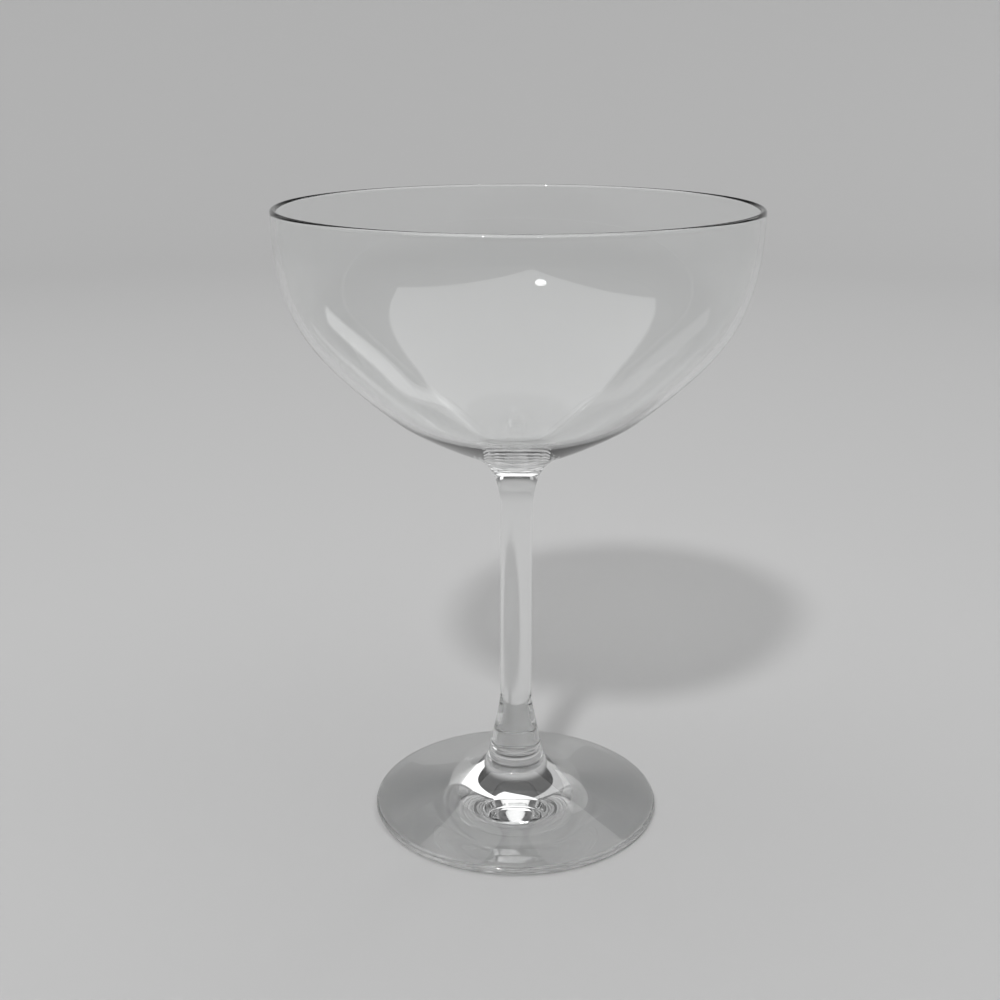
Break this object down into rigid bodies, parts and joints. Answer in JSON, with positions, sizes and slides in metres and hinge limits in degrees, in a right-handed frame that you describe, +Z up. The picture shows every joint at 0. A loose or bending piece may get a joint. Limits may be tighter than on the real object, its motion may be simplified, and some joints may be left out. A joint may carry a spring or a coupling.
{
  "type": "coupe glass",
  "caption": "Clear coupe glass: a wide shallow bowl with a rounded lip on a drawn stem, a collar and a flat round foot, for serving drinks.",
  "frame": {"origin": "on the table under the middle of the foot", "axes": "+Z up along the glass's axis of revolution; X and Y are alike"},
  "size_m": [0.1, 0.1, 0.1361],
  "materials": {
    "bowl_glass": "clear, fire-polished",
    "stem_glass": "clear, fire-polished",
    "collar_glass": "clear, fire-polished",
    "foot_glass": "clear, fire-polished"
  },
  "bodies": {
    "root": {"bowl": "bowl_glass", "stem": "stem_glass", "collar": "collar_glass", "foot": "foot_glass"}
  },
  "joints": []
}
